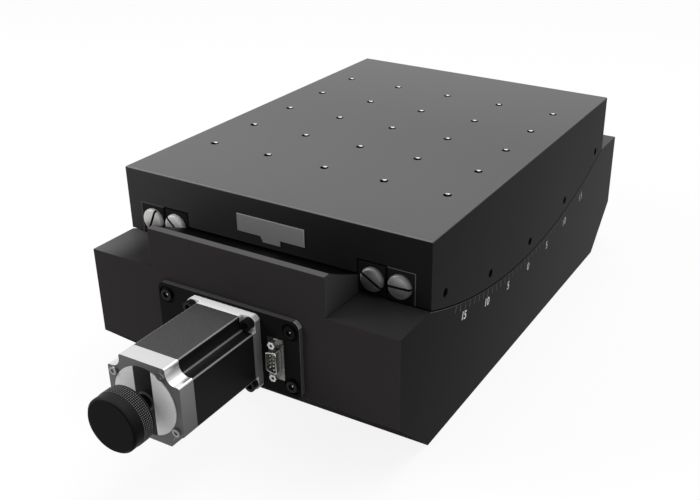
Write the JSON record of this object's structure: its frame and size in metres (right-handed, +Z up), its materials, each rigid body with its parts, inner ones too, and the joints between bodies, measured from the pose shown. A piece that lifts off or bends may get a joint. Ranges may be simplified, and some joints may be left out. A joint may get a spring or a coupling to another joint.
{
  "type": "motorized goniometer stage",
  "caption": "Motorized tilt stage with a long flat tapped table that rocks on crossed roller arc guides in a cradle base, driven by a worm and a rear-shaft stepper motor with a hand knob",
  "frame": {"origin": "centre of the base underside, midway between its four fixing holes", "axes": "+Z up, +X along the tilt axis towards the side with the degree scale, -Y towards the motor"},
  "size_m": [0.25, 0.5325, 0.155],
  "materials": {
    "black_block": "black anodised, fine matt",
    "dark_rail": "blackened ground steel",
    "steel_screw": "bright zinc plated steel",
    "black_screw": "black oxide steel",
    "plate": "black anodised",
    "silver_cast": "bright machined aluminium",
    "motor_core": "black painted laminations",
    "label_sheet": "printed foil without words",
    "bearing_steel": "ground bearing steel",
    "bronze": "machined bronze",
    "worm_steel": "ground hardened steel",
    "nickel_shell": "nickel plated steel shell",
    "gold_pin": "gilt contact pins",
    "black_plastic": "black moulded plastic",
    "blank_plate": "grey anodised sheet",
    "spider": "elastic polyurethane",
    "knurled": "black anodised, cross knurled",
    "cage_strip": "brass strip"
  },
  "bodies": {
    "base": {"base_block": "black_block", "bottom_cover": "plate", "cover_screws": "steel_screw", "inner_rail_left": "dark_rail", "inner_rail_right": "dark_rail", "inner_rail_screws": "black_screw", "base_stop_screws": "steel_screw", "motor_plate": "plate", "motor_plate_screws": "black_screw", "motor_flange": "silver_cast", "motor_body": "motor_core", "motor_rear_cap": "silver_cast", "motor_mount_screws": "black_screw", "motor_tie_screws": "steel_screw", "motor_label": "label_sheet", "bearing_block_front": "plate", "bearing_block_rear": "plate", "bearing_block_screws": "black_screw", "bearing_outer_rings": "bearing_steel", "connector_shell": "nickel_shell", "connector_insulator": "black_plastic", "connector_pins": "gold_pin", "connector_jackscrews": "steel_screw", "limit_sensor_front": "black_plastic", "limit_sensor_rear": "black_plastic"},
    "table": {"table_block": "black_block", "outer_rail_left": "dark_rail", "outer_rail_right": "dark_rail", "outer_rail_screws": "black_screw", "table_stop_screws": "steel_screw", "arc_rack": "bronze", "arc_rack_screws": "black_screw", "nameplate": "blank_plate", "trip_magnet": "bearing_steel"},
    "drive": {"worm_shaft": "worm_steel", "bearing_inner_rings": "bearing_steel", "lock_nut": "black_screw", "coupling_motor_hub": "silver_cast", "coupling_worm_hub": "silver_cast", "coupling_spider": "spider", "motor_rotor": "worm_steel", "knob": "knurled", "knob_set_screw": "black_screw"},
    "cage_left": {"roller_cage_left": "cage_strip", "rollers_left": "bearing_steel"},
    "cage_right": {"roller_cage_right": "cage_strip", "rollers_right": "bearing_steel"}
  },
  "joints": [
    {"name": "table_tilt", "type": "hinge", "parent": "base", "child": "table", "pos_m": [0, 0, 0.523], "axis": [1, 0, 0], "range_deg": [-15, 15]},
    {"name": "drive_spin", "type": "hinge", "parent": "base", "child": "drive", "pos_m": [-0.0065, -0.2, 0.067], "axis": [0, -1, 0], "range_deg": [-6540, 6540]},
    {"name": "cage_left_roll", "type": "hinge", "parent": "base", "child": "cage_left", "pos_m": [0, 0, 0.523], "axis": [1, 0, 0], "range_deg": [-7.5, 7.5]},
    {"name": "cage_right_roll", "type": "hinge", "parent": "base", "child": "cage_right", "pos_m": [0, 0, 0.523], "axis": [1, 0, 0], "range_deg": [-7.5, 7.5]}
  ],
  "couplings": [
    {"joint": "drive_spin", "follows": "table_tilt", "ratio": 436},
    {"joint": "cage_left_roll", "follows": "table_tilt", "ratio": 0.5},
    {"joint": "cage_right_roll", "follows": "table_tilt", "ratio": 0.5}
  ]
}
